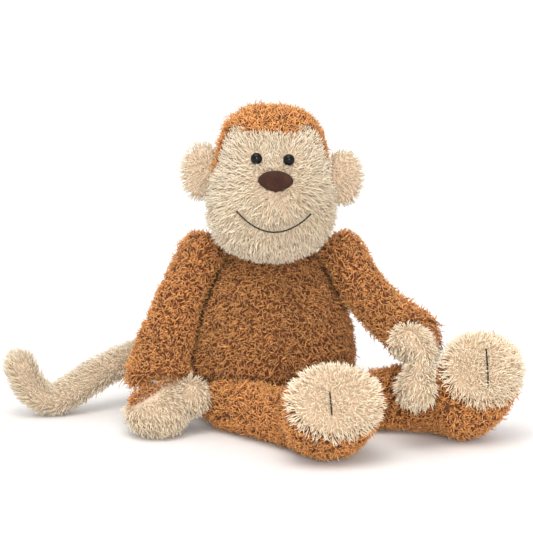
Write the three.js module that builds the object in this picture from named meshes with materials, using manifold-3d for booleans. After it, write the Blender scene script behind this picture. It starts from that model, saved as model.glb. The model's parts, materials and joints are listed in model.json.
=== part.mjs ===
// A seated plush monkey, sewn from curly pile fabric and stuffed with fibre. Millimetres, +Z up.
// It sits on the flat underside of its torso at z = 0 and faces -Y; its own left side is at +X.
// Every skin is a thin shell with an opening where it is sewn to its neighbour, and the stuffing of
// each bag is a solid of its own inside it. Outer surfaces stand at the mean depth of the pile.
import * as THREE from 'three';
import { LoftGeometry } from 'three/addons/geometries/LoftGeometry.js';
import { mergeVertices } from 'three/addons/utils/BufferGeometryUtils.js';
import Module from 'manifold-3d';

const wasm = await Module();
wasm.setup();

// ---------------------------------------------------------------- driving dimensions

const WALL = 2.5; // backing cloth and the dense foot of the pile
const GAP = 0.4; // between pieces that are sewn or pressed together
const COARSE = 0.6; // share of the sides that a stuffing has of its skin's
const STUFFING_INSET = 4.2; // from the outer surface of a skin to the stuffing inside it
const SOCKET_GAP = 2; // around the root of a limb that turns in its seam
const CLEARANCE_STEPS = 4;
const ROOT_LENGTH = 40; // how far along a limb its turning root is cleared
const CAP_RINGS = 3; // rings of a rounded end
const CAP_TURN = THREE.MathUtils.degToRad(82); // how far a rounded end turns before its flat tip
const FAR = 400; // half the side of a cutting block
const SLIVER = 0.06; // cut edges shorter or flatter than this are merged

const TORSO_SIDES = 26;
const TORSO_STEPS = 11;
const TORSO_SEAM_Y = 6; // the side seams between the front and back panels
const TORSO_ROWS = [
  // height, half width, front, back, where it is widest
  [0, 48, -33, 43, 5],
  [3, 53, -38, 47, 5],
  [12, 57.5, -42, 50, 4],
  [30, 60.5, -45, 52, 4],
  [50, 61.5, -46, 52, 3],
  [70, 59, -43, 50, 4],
  [90, 53, -37, 47, 5],
  [108, 44, -29, 44, 8],
  [122, 35, -20, 40, 10],
  [133, 26, -9, 34, 12],
  [140, 19, -3, 28, 12],
  [143, 13, 0, 24, 12],
];

const NECK = new THREE.Vector3(0, 12, 145);
const NECK_HOLE_RADIUS = 9.5;
const NECK_HOLE_DEPTH = 12;
const NECK_SEAM_RADIUS = 11;
const NECK_SEAM_THICKNESS = 0.8;
const NECK_SEAM_SIDES = 8;

const HEAD_ROLL = THREE.MathUtils.degToRad(2.5);
const HEAD_SIDES = 24;
const HEAD_STEPS = 13;
const HEAD_CENTRE_X = -1.5;
const HEAD_ROWS = [
  // height over the neck seam, half width, front, back, where it is widest
  [-17, 12, -53, -39, -46],
  [-13, 24, -60, -35, -47],
  [-6, 33.5, -66, -28, -46],
  [2.4, 39.5, -69, -21, -42],
  [4, 40.3, -69.3, 16, -40],
  [9, 42.5, -70, 25, -34],
  [18, 44, -69.5, 30, -28],
  [31, 43, -66, 32, -22],
  [45, 41, -61, 33, -16],
  [58, 39.5, -57, 32, -13],
  [70, 37, -50, 28, -11],
  [80, 31.5, -42, 21, -10],
  [87, 22, -31, 10, -10],
  [90, 11, -20, -2, -11],
];
const FACE_SEAM_Y = -6; // how far back the face panel reaches along the cheeks
const FACE_HALF_WIDTH = 36.5;
const FACE_TOP = 78;
const FACE_CHEEK = 30; // height where the face panel widens to the whole cheek
const BEYOND_CHEEK = 60; // clear of the head on either side

const EYE_RADIUS = 4.1;
const EYE_HEIGHT = 56.5;
const EYE_SPACING = 23.6;
const EYE_CENTRE_X = -2.2;
const EYE_SIDES = 16;
const EYE_SEAT = -0.6; // the flat underside of the dome, pressed into the cloth
const EYE_DOME = [
  // share of the radius, height over the cloth
  [0.86, 2.3],
  [0.55, 3.3],
  [0, 3.8],
];
const EYE_RIM = 0.8; // height of the dome's upright edge
const EYE_POST_RADIUS = 1.2;
const EYE_POST_LENGTH = 11;
const WASHER_RADIUS = 6;
const WASHER_THICKNESS = 1.4;
const WASHER_TOP = -4.2; // under the outer surface, clear of the curve of the cloth

const NOSE_HEIGHT = 40.8;
const NOSE_X = 0.6;
const NOSE_SIZE = new THREE.Vector3(12.5, 5, 8.2);

const THREAD_RADIUS = 0.7;
const MOUTH_WIDTH = 51.5;
const MOUTH_CORNER_HEIGHT = 18.5;
const MOUTH_DROP = 12.5;
const MOUTH_X = 0.3;
const MOUTH_LIFT = 0.4;

const EAR_HEIGHT = 18; // half the length of the sewn edge
const EAR_REACH = 20.5;
const EAR_THICKNESS = 7;
const EAR_CENTRE_HEIGHT = 40;
const EAR_Y = -7;
const EAR_BASE_X = 46.3; // from the middle of the head to the ear's hinge line

const LIMB_SIDES = 14;
const ARM_STEPS = 7;
const WRIST_BALL = 15.5;
const WRIST_LIFT = 20;
const CUFF_SLACK = 0.5; // how far before the wrist the sleeve ends
const BEYOND_CUFF = 40;
const HAND_SIDES = 12;
const HAND_BANDS = 7;
const HAND_MOUTH_RADIUS = 8;
const HAND_MOUTH_LENGTH = 12;
const HAND_FILL_INSET = 3.6;
const HAND_FILL_SIDES = 8;
const HAND_FILL_BANDS = 6;

const ARMS = {
  right: {
    path: [[-52, 4, 126], [-60, -3, 110], [-69, -11, 91], [-76.5, -19, 71], [-83, -26, 52], [-82, -33, 34]],
    radii: [17, 16.6, 17, 18, 20, 22.5],
    raise: 120,
    lobes: [
      { centre: [-84, -50, 18], size: [22, 21, 17] },
      { centre: [-59, -43, 27], size: [11.5, 12, 12.5] },
    ],
  },
  left: {
    path: [[52, 4, 126], [61.5, -5, 110], [73.5, -16, 94.5], [86.5, -29, 83.5], [98.5, -42, 76], [107, -54, 69]],
    radii: [17, 16, 15.8, 16.4, 17.8, 20],
    raise: 50,
    lobes: [
      { centre: [105, -76, 64], size: [8.5, 14, 14] },
      { centre: [103.5, -86, 54], size: [8.5, 10.5, 12] },
      { centre: [100.5, -92, 44], size: [12, 12, 12.5] },
      { centre: [96.5, -75, 74.5], size: [11.5, 12, 10.5] },
    ],
  },
};

const LEG_RADIUS = 18.5;
const HIP_SWING = 80;
const LEG_ROWS = [
  // length from the hip, half width, lean of the section
  [0, 18.5, 0],
  [28, 18.5, 0],
  [58, 18.5, 0],
  [82, 20.5, 0],
  [100, 27, 4],
  [113, 32, 10],
  [123, 33.5, 18],
  [129, 31.5, 25],
];
const LEGS = {
  right: {
    hip: [-33, -30],
    headings: [45, 45, 44, 42, 34, 22, 14, 12],
    heights: [19, 19, 19, 21, 27, 31.5, 37.5, 45],
    halfHeights: [18.5, 18.5, 18.5, 20.5, 26, 29.5, 28.5, 23.5],
    toe: { top: 6, across: -5.2, length: 16 },
  },
  left: {
    hip: [36.5, -28],
    headings: [84, 84, 80, 72, 60, 42, 31, 27],
    heights: [19, 20.5, 25, 24.5, 27.5, 33, 44, 55.5],
    halfHeights: [18.5, 19.5, 23, 22, 26, 31.5, 31, 25],
    toe: { top: 13, across: -1.5, length: 28 },
  },
};
const SOLE_HEM = 2.4; // how far the skin turns in under the sole's edge
const SOLE_CROWN = [
  // height of the ring over the end of the leg, share of the sole's size
  [0.4, 1.0],
  [2.6, 0.99],
  [5.0, 0.88],
  [6.6, 0.62],
  [7.2, 0.25],
];
const SOLE_SIDES = 20;
const TOE_STITCHES = 6;

const TAIL_RADIUS = 10.2;
const TAIL_SIDES = 10;
const TAIL_STEPS = 15;
const TAIL_SWING = 140;
const TAIL_ROOT_LENGTH = 12;
const TAIL_PATH = [
  [-8, 57, 46],
  [-34, 66, 48],
  [-66, 60, 46.5],
  [-98, 45, 41],
  [-128, 28, 32],
  [-150, 16, 20],
  [-168, 9, 11],
  [-183, 5, 21],
  [-191, 2, 40],
];

const POUCH_TOP = 15;
const POUCH_FRONT = -12;

// ---------------------------------------------------------------- materials

function material(color, roughness, metalness = 0) {
  return new THREE.MeshStandardMaterial({ color, roughness, metalness });
}

const GINGER = material(0xb4763f, 0.95);
const CREAM = material(0xdcc3a0, 0.95);
const FIBRE = material(0xf2f0ea, 1);
const BEADS = material(0xd8d2c4, 0.7);
const SUEDE = material(0x50341f, 0.9);
const BLACK_PLASTIC = material(0x0b0a0a, 0.08);
const WHITE_PLASTIC = material(0xe9e7e0, 0.45);
const BLACK_THREAD = material(0x1c1815, 0.8);
const TAN_THREAD = material(0xa06a3c, 0.85);

// ---------------------------------------------------------------- solids

function solidOf(geometry) {
  const bare = new THREE.BufferGeometry().copy(geometry);
  bare.deleteAttribute('normal');
  bare.deleteAttribute('uv');
  const merged = mergeVertices(bare, 1e-4);
  return new wasm.Manifold(new wasm.Mesh({
    numProp: 3,
    vertProperties: new Float32Array(merged.attributes.position.array),
    triVerts: new Uint32Array(merged.index.array),
  }));
}

function meshOf(name, solid, look) {
  const { vertProperties, triVerts } = solid.simplify(SLIVER).getMesh();
  const geometry = new THREE.BufferGeometry();
  geometry.setAttribute('position', new THREE.BufferAttribute(new Float32Array(vertProperties), 3));
  geometry.setIndex(new THREE.BufferAttribute(new Uint32Array(triVerts), 1));
  geometry.computeVertexNormals();
  const mesh = new THREE.Mesh(geometry, look);
  mesh.name = name;
  return mesh;
}

function largestPart(solid) {
  return solid.decompose().reduce((best, part) => (part.volume() > best.volume() ? part : best));
}

function block(lowest, highest) {
  const size = highest.clone().sub(lowest);
  const geometry = new THREE.BoxGeometry(size.x, size.y, size.z);
  const middle = lowest.clone().add(highest).multiplyScalar(0.5);
  return solidOf(geometry.translate(middle.x, middle.y, middle.z));
}

function inFrontOf(y) {
  return block(new THREE.Vector3(-FAR, -FAR, -FAR), new THREE.Vector3(FAR, y, FAR));
}

function behind(y) {
  return block(new THREE.Vector3(-FAR, y, -FAR), new THREE.Vector3(FAR, FAR, FAR));
}

function ball(centre, radii, sides = HAND_SIDES, bands = HAND_BANDS) {
  const geometry = new THREE.SphereGeometry(1, sides, bands).scale(...radii).translate(...centre);
  return solidOf(geometry);
}

function rod(centre, direction, radius, length, sides = 20) {
  const turn = new THREE.Quaternion().setFromUnitVectors(new THREE.Vector3(0, 1, 0), direction);
  const geometry = new THREE.CylinderGeometry(radius, radius, length, sides);
  return solidOf(geometry.applyQuaternion(turn).translate(centre.x, centre.y, centre.z));
}

function unite(solids) {
  return solids.reduce((sum, solid) => sum.add(solid));
}

// The room that a limb's root needs as it turns about its pivot: its capsule at several angles.
function rootClearance({ pivot, towards, radius, length, axis, range }) {
  const direction = towards.clone().sub(pivot).normalize();
  const parts = [];
  for (let i = 0; i <= CLEARANCE_STEPS; i += 1) {
    const angle = THREE.MathUtils.degToRad((range * i) / CLEARANCE_STEPS);
    const aim = direction.clone().applyAxisAngle(axis, angle);
    const turn = new THREE.Quaternion().setFromUnitVectors(new THREE.Vector3(0, 1, 0), aim);
    const middle = pivot.clone().addScaledVector(aim, length / 2);
    const geometry = new THREE.CapsuleGeometry(radius + SOCKET_GAP, length, 2, 10);
    parts.push(solidOf(geometry.applyQuaternion(turn).translate(middle.x, middle.y, middle.z)));
  }
  return unite(parts);
}

// ---------------------------------------------------------------- lofts

function ring(centre, sideways, upwards, sides) {
  const points = [];
  for (let i = 0; i < sides; i += 1) {
    const turn = (i / sides) * Math.PI * 2;
    points.push(centre.clone()
      .addScaledVector(sideways, Math.cos(turn))
      .addScaledVector(upwards, Math.sin(turn)));
  }
  return points;
}

function loft(rings) {
  return solidOf(new LoftGeometry(rings, { capStart: true, capEnd: true }));
}

// Rows of a body's sections read smoothly at a share of the way up.
function bodySection(rows, share) {
  const places = new THREE.SplineCurve(rows.map((row) => new THREE.Vector2(row[0], row[4])));
  const sizes = new THREE.CatmullRomCurve3(rows.map((row) => new THREE.Vector3(...row.slice(1, 4))));
  const place = places.getPoint(share);
  const size = sizes.getPoint(share);
  return { height: place.x, widest: place.y, halfWidth: size.x, front: size.y, back: size.z };
}

// A bag of level oval sections, drawn in by inset on all sides.
function bodyLoft(rows, centreX, steps, sides, inset = 0) {
  const lowest = rows[0][0];
  const tallness = rows[rows.length - 1][0] - lowest;
  const rings = [];
  for (let i = 0; i <= steps; i += 1) {
    const { height, widest, halfWidth, front, back } = bodySection(rows, i / steps);
    const level = lowest + inset + (height - lowest) * (1 - (2 * inset) / tallness);
    const centre = new THREE.Vector3(centreX, widest, level);
    const sideways = new THREE.Vector3(halfWidth - inset, 0, 0);
    const backHalf = ring(centre, sideways, new THREE.Vector3(0, back - widest - inset, 0), sides);
    const frontHalf = ring(centre, sideways, new THREE.Vector3(0, widest - front - inset, 0), sides);
    rings.push(backHalf.map((point, k) => (k < sides / 2 ? point : frontHalf[k])));
  }
  return loft(rings);
}

// Rings that round off an end: they shrink while they move outwards along the end's direction.
function roundEnd(centre, sideways, upwards, outwards, sides) {
  const rings = [];
  for (let i = 1; i <= CAP_RINGS; i += 1) {
    const turn = (CAP_TURN * i) / CAP_RINGS;
    const place = centre.clone().addScaledVector(outwards, Math.sin(turn));
    const width = sideways.clone().multiplyScalar(Math.cos(turn));
    rings.push(ring(place, width, upwards.clone().multiplyScalar(Math.cos(turn)), sides));
  }
  return rings;
}

// A stuffed tube along a curve, with rounded ends; startReach and endReach are the depths of the ends.
// The curve never runs along the reference direction, from which its sections are turned.
function tubeLoft({ points, radii, steps, sides, reference, inset = 0, startReach, endReach }) {
  const path = new THREE.CatmullRomCurve3(points.map((point) => new THREE.Vector3(...point)));
  const sizes = new THREE.SplineCurve(radii.map((radius, i) => new THREE.Vector2(i, radius)));
  const frames = [];
  for (let i = 0; i <= steps; i += 1) {
    const tangent = path.getTangent(i / steps);
    const radius = sizes.getPoint(i / steps).y - inset;
    const sideways = reference.clone().cross(tangent).setLength(radius);
    const upwards = tangent.clone().cross(sideways);
    frames.push({ centre: path.getPoint(i / steps), tangent, sideways, upwards });
  }
  const rings = frames.map((frame) => ring(frame.centre, frame.sideways, frame.upwards, sides));
  const first = frames[0];
  const last = frames[frames.length - 1];
  if (startReach > 0) {
    const outwards = first.tangent.clone().multiplyScalar(-startReach);
    rings.unshift(...roundEnd(first.centre, first.sideways, first.upwards, outwards, sides).reverse());
  }
  if (endReach > 0) {
    const outwards = last.tangent.clone().multiplyScalar(endReach);
    rings.push(...roundEnd(last.centre, last.sideways, last.upwards, outwards, sides));
  }
  return loft(rings);
}

// A sewing thread laid along a curve.
function threadAlong(points, radius = THREAD_RADIUS) {
  const path = new THREE.CatmullRomCurve3(points);
  const section = new THREE.Shape().absarc(0, 0, radius, 0, Math.PI * 2);
  return solidOf(new THREE.ExtrudeGeometry(section, { extrudePath: path, steps: 14, curveSegments: 4 }));
}

// ---------------------------------------------------------------- arms and hands

function armTube(arm, inset, startReach, fineness = 1) {
  return tubeLoft({
    points: arm.path,
    radii: arm.radii,
    steps: ARM_STEPS,
    sides: Math.round(LIMB_SIDES * fineness),
    reference: new THREE.Vector3(0, 1, 0),
    inset,
    startReach,
    endReach: 0,
  });
}

function shoulderClearance(arm) {
  return rootClearance({
    pivot: new THREE.Vector3(...arm.path[0]),
    towards: new THREE.Vector3(...arm.path[1]),
    radius: arm.radii[0],
    length: ROOT_LENGTH,
    axis: new THREE.Vector3(-1, 0, 0),
    range: arm.raise,
  });
}

function wristOf(arm) {
  const pivot = new THREE.Vector3(...arm.path[arm.path.length - 1]);
  const before = new THREE.Vector3(...arm.path[arm.path.length - 2]);
  return { pivot, along: pivot.clone().sub(before).normalize() };
}

function handLobes(arm, inset, sides = HAND_SIDES, bands = HAND_BANDS) {
  const { pivot } = wristOf(arm);
  const root = { centre: pivot.toArray(), size: [WRIST_BALL, WRIST_BALL, WRIST_BALL] };
  return unite([root, ...arm.lobes].map(({ centre, size }) => (
    ball(centre, size.map((half) => half - inset), sides, bands)
  )));
}

function liftedAbout(pivot, angle, solid) {
  return solid
    .translate(pivot.clone().negate().toArray())
    .rotate([-angle, 0, 0])
    .translate(pivot.toArray());
}

function makeArm(side, arm) {
  const { pivot, along } = wristOf(arm);
  const cuffBall = WRIST_BALL + SOCKET_GAP;
  const cuffHollow = ball(pivot.toArray(), [cuffBall, cuffBall, cuffBall]);
  const beyond = pivot.clone().addScaledVector(along, BEYOND_CUFF / 2 - CUFF_SLACK);
  const beyondCuff = rod(beyond, along, BEYOND_CUFF, BEYOND_CUFF);
  const handRoom = handLobes(arm, -SOCKET_GAP);
  const cuffCut = unite([cuffHollow, beyondCuff, handRoom, liftedAbout(pivot, WRIST_LIFT, handRoom)]);
  const sleeve = armTube(arm, 0, arm.radii[0])
    .subtract(armTube(arm, WALL, arm.radii[0] + 2))
    .subtract(cuffCut);
  const stuffing = armTube(arm, STUFFING_INSET, arm.radii[0] - STUFFING_INSET, COARSE).subtract(cuffCut);

  const mouthMiddle = pivot.clone().addScaledVector(along, -WRIST_BALL);
  const mouth = rod(mouthMiddle, along, HAND_MOUTH_RADIUS, HAND_MOUTH_LENGTH);
  const hand = handLobes(arm, 0);
  const handSkin = hand.subtract(handLobes(arm, WALL)).subtract(mouth);
  const handStuffing = handLobes(arm, HAND_FILL_INSET, HAND_FILL_SIDES, HAND_FILL_BANDS);
  return [
    meshOf(`${side}_sleeve`, largestPart(sleeve), GINGER),
    meshOf(`${side}_arm_stuffing`, largestPart(stuffing), FIBRE),
    meshOf(`${side}_hand_skin`, largestPart(handSkin), CREAM),
    meshOf(`${side}_hand_stuffing`, largestPart(handStuffing), FIBRE),
  ];
}

// ---------------------------------------------------------------- legs and soles

function legFrames(leg) {
  const place = new THREE.Vector3(leg.hip[0], leg.hip[1], 0);
  let travelled = 0;
  return LEG_ROWS.map(([length, halfWidth, lean], i) => {
    const halfHeight = leg.halfHeights[i];
    const heading = THREE.MathUtils.degToRad(leg.headings[i]);
    const course = new THREE.Vector3(Math.sin(heading), -Math.cos(heading), 0);
    place.addScaledVector(course, length - travelled).setZ(leg.heights[i]);
    travelled = length;
    const tilt = THREE.MathUtils.degToRad(lean);
    const normal = course.clone().multiplyScalar(Math.cos(tilt)).setZ(Math.sin(tilt));
    const upright = course.clone().multiplyScalar(-Math.sin(tilt)).setZ(Math.cos(tilt));
    const across = upright.clone().cross(normal);
    return { centre: place.clone(), normal, upright, across, halfWidth, halfHeight };
  });
}

// The leg's tube, drawn in by inset; hem draws its far end in further and moves it out a little.
function legTube(leg, inset, startReach, hem = 0, sides = LIMB_SIDES) {
  const frames = legFrames(leg);
  const last = frames[frames.length - 1];
  last.centre.addScaledVector(last.normal, hem / 4);
  last.halfWidth -= hem;
  last.halfHeight -= hem;
  const spokes = frames.map((frame) => ({
    centre: frame.centre,
    sideways: frame.across.clone().multiplyScalar(frame.halfWidth - inset),
    upwards: frame.upright.clone().multiplyScalar(frame.halfHeight - inset),
  }));
  const first = spokes[0];
  const outwards = frames[0].normal.clone().multiplyScalar(-startReach);
  const root = roundEnd(first.centre, first.sideways, first.upwards, outwards, sides).reverse();
  return loft([...root, ...spokes.map((s) => ring(s.centre, s.sideways, s.upwards, sides))]);
}

function hipAxis(leg) {
  const heading = THREE.MathUtils.degToRad(leg.headings[0]);
  return new THREE.Vector3(Math.cos(heading), Math.sin(heading), 0);
}

function hipClearance(leg) {
  const frames = legFrames(leg);
  return rootClearance({
    pivot: frames[0].centre,
    towards: frames[1].centre,
    radius: LEG_RADIUS,
    length: ROOT_LENGTH,
    axis: hipAxis(leg),
    range: HIP_SWING,
  });
}

function soleLoft(leg, drop = 0) {
  const frames = legFrames(leg);
  const end = frames[frames.length - 1];
  return loft(SOLE_CROWN.map(([height, share]) => ring(
    end.centre.clone().addScaledVector(end.normal, height - drop),
    end.across.clone().multiplyScalar(end.halfWidth * share),
    end.upright.clone().multiplyScalar(end.halfHeight * share),
    SOLE_SIDES,
  )));
}

// The height of the sole's crown over the end of the leg, at a share of its size from the middle.
function crownHeight(share) {
  const outer = SOLE_CROWN.findIndex((row) => row[1] <= share);
  if (outer < 0) {
    return SOLE_CROWN[SOLE_CROWN.length - 1][0];
  }
  const [highOf, shareOf] = SOLE_CROWN[outer];
  const [lowOf, wideOf] = SOLE_CROWN[outer - 1];
  return THREE.MathUtils.mapLinear(share, shareOf, wideOf, highOf, lowOf);
}

function toeThread(leg) {
  const frames = legFrames(leg);
  const end = frames[frames.length - 1];
  const { top, across, length } = leg.toe;
  const points = [];
  for (let i = 0; i <= TOE_STITCHES; i += 1) {
    const rise = top - (length * i) / TOE_STITCHES;
    const share = Math.hypot(rise / end.halfHeight, across / end.halfWidth);
    points.push(end.centre.clone()
      .addScaledVector(end.upright, rise)
      .addScaledVector(end.across, across)
      .addScaledVector(end.normal, crownHeight(share) + THREAD_RADIUS + GAP));
  }
  return threadAlong(points);
}

function makeLeg(side, leg) {
  const skin = legTube(leg, 0, LEG_RADIUS).subtract(legTube(leg, WALL, LEG_RADIUS + 2, SOLE_HEM));
  const stuffingSides = Math.round(LIMB_SIDES * COARSE);
  const stuffing = legTube(leg, STUFFING_INSET, LEG_RADIUS - STUFFING_INSET, SOLE_HEM, stuffingSides)
    .subtract(soleLoft(leg, GAP));
  return [
    meshOf(`${side}_leg_skin`, largestPart(skin), GINGER),
    meshOf(`${side}_leg_stuffing`, stuffing, FIBRE),
    meshOf(`${side}_sole`, soleLoft(leg), CREAM),
    meshOf(`${side}_toe_thread`, toeThread(leg), BLACK_THREAD),
  ];
}

// ---------------------------------------------------------------- tail

function tailTube(inset, startReach, fineness = 1) {
  return tubeLoft({
    points: TAIL_PATH,
    radii: TAIL_PATH.map(() => TAIL_RADIUS),
    steps: TAIL_STEPS,
    sides: Math.round(TAIL_SIDES * fineness),
    reference: new THREE.Vector3(0, 0, 1),
    inset,
    startReach,
    endReach: TAIL_RADIUS - inset,
  });
}

function tailClearance() {
  return rootClearance({
    pivot: new THREE.Vector3(...TAIL_PATH[0]),
    towards: new THREE.Vector3(...TAIL_PATH[1]),
    radius: TAIL_RADIUS,
    length: TAIL_ROOT_LENGTH,
    axis: new THREE.Vector3(0, 0, -1),
    range: TAIL_SWING,
  });
}

function makeTail() {
  const skin = tailTube(0, TAIL_RADIUS).subtract(tailTube(WALL, TAIL_RADIUS + 2));
  return [
    meshOf('tail_skin', largestPart(skin), CREAM),
    meshOf('tail_stuffing', tailTube(STUFFING_INSET, TAIL_RADIUS - STUFFING_INSET, COARSE), FIBRE),
  ];
}

// ---------------------------------------------------------------- torso

function makeTorso() {
  const torso = (inset, fineness = 1) => bodyLoft(
    TORSO_ROWS,
    0,
    TORSO_STEPS,
    Math.round(TORSO_SIDES * fineness),
    inset,
  );
  const limbs = unite([
    ...Object.values(ARMS).map(shoulderClearance),
    ...Object.values(LEGS).map(hipClearance),
    tailClearance(),
  ]);
  const up = new THREE.Vector3(0, 0, 1);
  const neckHole = rod(NECK, up, NECK_HOLE_RADIUS, NECK_HOLE_DEPTH);
  const shell = torso(0).subtract(torso(WALL)).subtract(limbs).subtract(neckHole);
  const inside = torso(STUFFING_INSET, COARSE).subtract(limbs);
  const pouchLow = new THREE.Vector3(-FAR, POUCH_FRONT, -FAR);
  const pouchSpace = block(pouchLow, new THREE.Vector3(FAR, FAR, POUCH_TOP));
  const aboveLow = pouchLow.clone().subScalar(GAP);
  const pouchRoom = block(aboveLow, new THREE.Vector3(FAR, FAR, POUCH_TOP + GAP));
  return [
    meshOf('torso_front_panel', largestPart(shell.intersect(inFrontOf(TORSO_SEAM_Y - GAP / 2))), GINGER),
    meshOf('torso_back_panel', largestPart(shell.intersect(behind(TORSO_SEAM_Y + GAP / 2))), GINGER),
    meshOf('torso_stuffing', largestPart(inside.subtract(pouchRoom)), FIBRE),
    meshOf('bead_pouch', largestPart(inside.intersect(pouchSpace)), BEADS),
  ];
}

// ---------------------------------------------------------------- neck and head

function neckSeam() {
  const profile = [];
  for (let i = 0; i <= NECK_SEAM_SIDES; i += 1) {
    const turn = (i / NECK_SEAM_SIDES) * Math.PI * 2;
    profile.push(new THREE.Vector2(
      NECK_SEAM_RADIUS + NECK_SEAM_THICKNESS * Math.cos(turn),
      NECK_SEAM_THICKNESS * Math.sin(turn),
    ));
  }
  profile[NECK_SEAM_SIDES].copy(profile[0]);
  const geometry = new THREE.LatheGeometry(profile, 20).rotateX(Math.PI / 2);
  return solidOf(geometry.translate(NECK.x, NECK.y, NECK.z));
}

function headSectionAt(height) {
  let low = 0;
  let high = 1;
  for (let i = 0; i < 30; i += 1) {
    const middle = (low + high) / 2;
    if (bodySection(HEAD_ROWS, middle).height < height) {
      low = middle;
    } else {
      high = middle;
    }
  }
  return bodySection(HEAD_ROWS, low);
}

// The point of the face at a distance across and a height.
function facePoint(x, height) {
  const { halfWidth, front, widest } = headSectionAt(height);
  const across = (x - HEAD_CENTRE_X) / halfWidth;
  const y = widest - (widest - front) * Math.sqrt(1 - across * across);
  return new THREE.Vector3(x, y, height);
}

function faceNormal(x, height) {
  const step = 2;
  const rightwards = facePoint(x + step, height).sub(facePoint(x - step, height));
  const upwards = facePoint(x, height + step).sub(facePoint(x, height - step));
  return rightwards.cross(upwards).normalize();
}

// The face panel's outline seen from the front, as a block that reaches back to the cheek seam.
function faceBlock(grow) {
  const half = FACE_HALF_WIDTH + grow;
  const outline = new THREE.Shape();
  outline.moveTo(-BEYOND_CHEEK, -BEYOND_CHEEK);
  outline.lineTo(BEYOND_CHEEK, -BEYOND_CHEEK);
  outline.lineTo(BEYOND_CHEEK, FACE_CHEEK - 4 + grow);
  outline.quadraticCurveTo(half + 3, FACE_CHEEK - 2 + grow, half, FACE_CHEEK + 10);
  outline.bezierCurveTo(half, FACE_TOP - 8, half - 14, FACE_TOP + grow, 0, FACE_TOP - 3 + grow);
  outline.bezierCurveTo(14 - half, FACE_TOP + grow, -half, FACE_TOP - 8, -half, FACE_CHEEK + 10);
  outline.quadraticCurveTo(-half - 3, FACE_CHEEK - 2 + grow, -BEYOND_CHEEK, FACE_CHEEK - 4 + grow);
  outline.closePath();
  const depth = FAR + FACE_SEAM_Y + grow;
  const geometry = new THREE.ExtrudeGeometry(outline, { depth, bevelEnabled: false, curveSegments: 6 });
  return solidOf(geometry.rotateX(Math.PI / 2).translate(HEAD_CENTRE_X, FACE_SEAM_Y + grow, 0));
}

function eyeSpots() {
  return [['right', -1], ['left', 1]].map(([side, sign]) => {
    const x = EYE_CENTRE_X + (sign * EYE_SPACING) / 2;
    return { side, point: facePoint(x, EYE_HEIGHT), normal: faceNormal(x, EYE_HEIGHT) };
  });
}

// A turned piece on the eye's axis; its profile is [radius, height over the cloth].
function turnedOn(spot, profile, sides) {
  const points = profile.map(([radius, height]) => new THREE.Vector2(radius, height));
  const turn = new THREE.Quaternion().setFromUnitVectors(new THREE.Vector3(0, 1, 0), spot.normal);
  const geometry = new THREE.LatheGeometry(points, sides).applyQuaternion(turn);
  return solidOf(geometry.translate(spot.point.x, spot.point.y, spot.point.z));
}

function eyeSolid(spot, grow = 0) {
  const radius = EYE_RADIUS + grow;
  const post = EYE_POST_RADIUS + grow;
  return turnedOn(spot, [
    [0, -EYE_POST_LENGTH - grow],
    [post, -EYE_POST_LENGTH - grow],
    [post, EYE_SEAT - grow],
    [radius, EYE_SEAT - grow],
    [radius, EYE_RIM],
    ...EYE_DOME.map(([share, height]) => [radius * share, height + grow]),
  ], EYE_SIDES);
}

function washerSolid(spot, grow = 0) {
  const top = WASHER_TOP + grow;
  const hole = EYE_POST_RADIUS + GAP - grow;
  const rim = WASHER_RADIUS + grow;
  const bottom = WASHER_TOP - WASHER_THICKNESS - grow;
  return turnedOn(spot, [[hole, bottom], [rim, bottom], [rim, top], [hole, top], [hole, bottom]], EYE_SIDES);
}

// A padded patch that lies against the face.
function nosePatch(face) {
  const middle = facePoint(NOSE_X, NOSE_HEIGHT);
  return ball(middle.toArray(), NOSE_SIZE.toArray(), 18, 10).subtract(face);
}

function mouthThread() {
  const points = [];
  for (let i = 0; i <= 8; i += 1) {
    const share = i / 4 - 1;
    const x = MOUTH_X + (share * MOUTH_WIDTH) / 2;
    const height = MOUTH_CORNER_HEIGHT - MOUTH_DROP * (1 - share * share);
    const lift = THREAD_RADIUS + GAP + MOUTH_LIFT;
    points.push(facePoint(x, height).addScaledVector(faceNormal(x, height), lift));
  }
  return threadAlong(points);
}

function makeEar(sign) {
  const outline = new THREE.Shape();
  const reach = EAR_REACH - EAR_THICKNESS / 2;
  outline.moveTo(0, -EAR_HEIGHT * 0.8);
  outline.bezierCurveTo(reach * 0.5, -EAR_HEIGHT * 1.15, reach, -EAR_HEIGHT * 0.7, reach, 0);
  outline.bezierCurveTo(reach, EAR_HEIGHT * 0.7, reach * 0.5, EAR_HEIGHT * 1.15, 0, EAR_HEIGHT * 0.8);
  outline.closePath();
  const bevel = EAR_THICKNESS / 2 - 0.5;
  const geometry = new THREE.ExtrudeGeometry(outline, {
    depth: 1,
    bevelSize: bevel,
    bevelThickness: bevel,
    bevelSegments: 3,
    curveSegments: 6,
  });
  geometry.translate(0, 0, -0.5).rotateX(Math.PI / 2);
  if (sign < 0) {
    geometry.rotateZ(Math.PI);
  }
  const hinge = HEAD_CENTRE_X + sign * EAR_BASE_X;
  return solidOf(geometry.translate(hinge, EAR_Y, EAR_CENTRE_HEIGHT));
}

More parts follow.
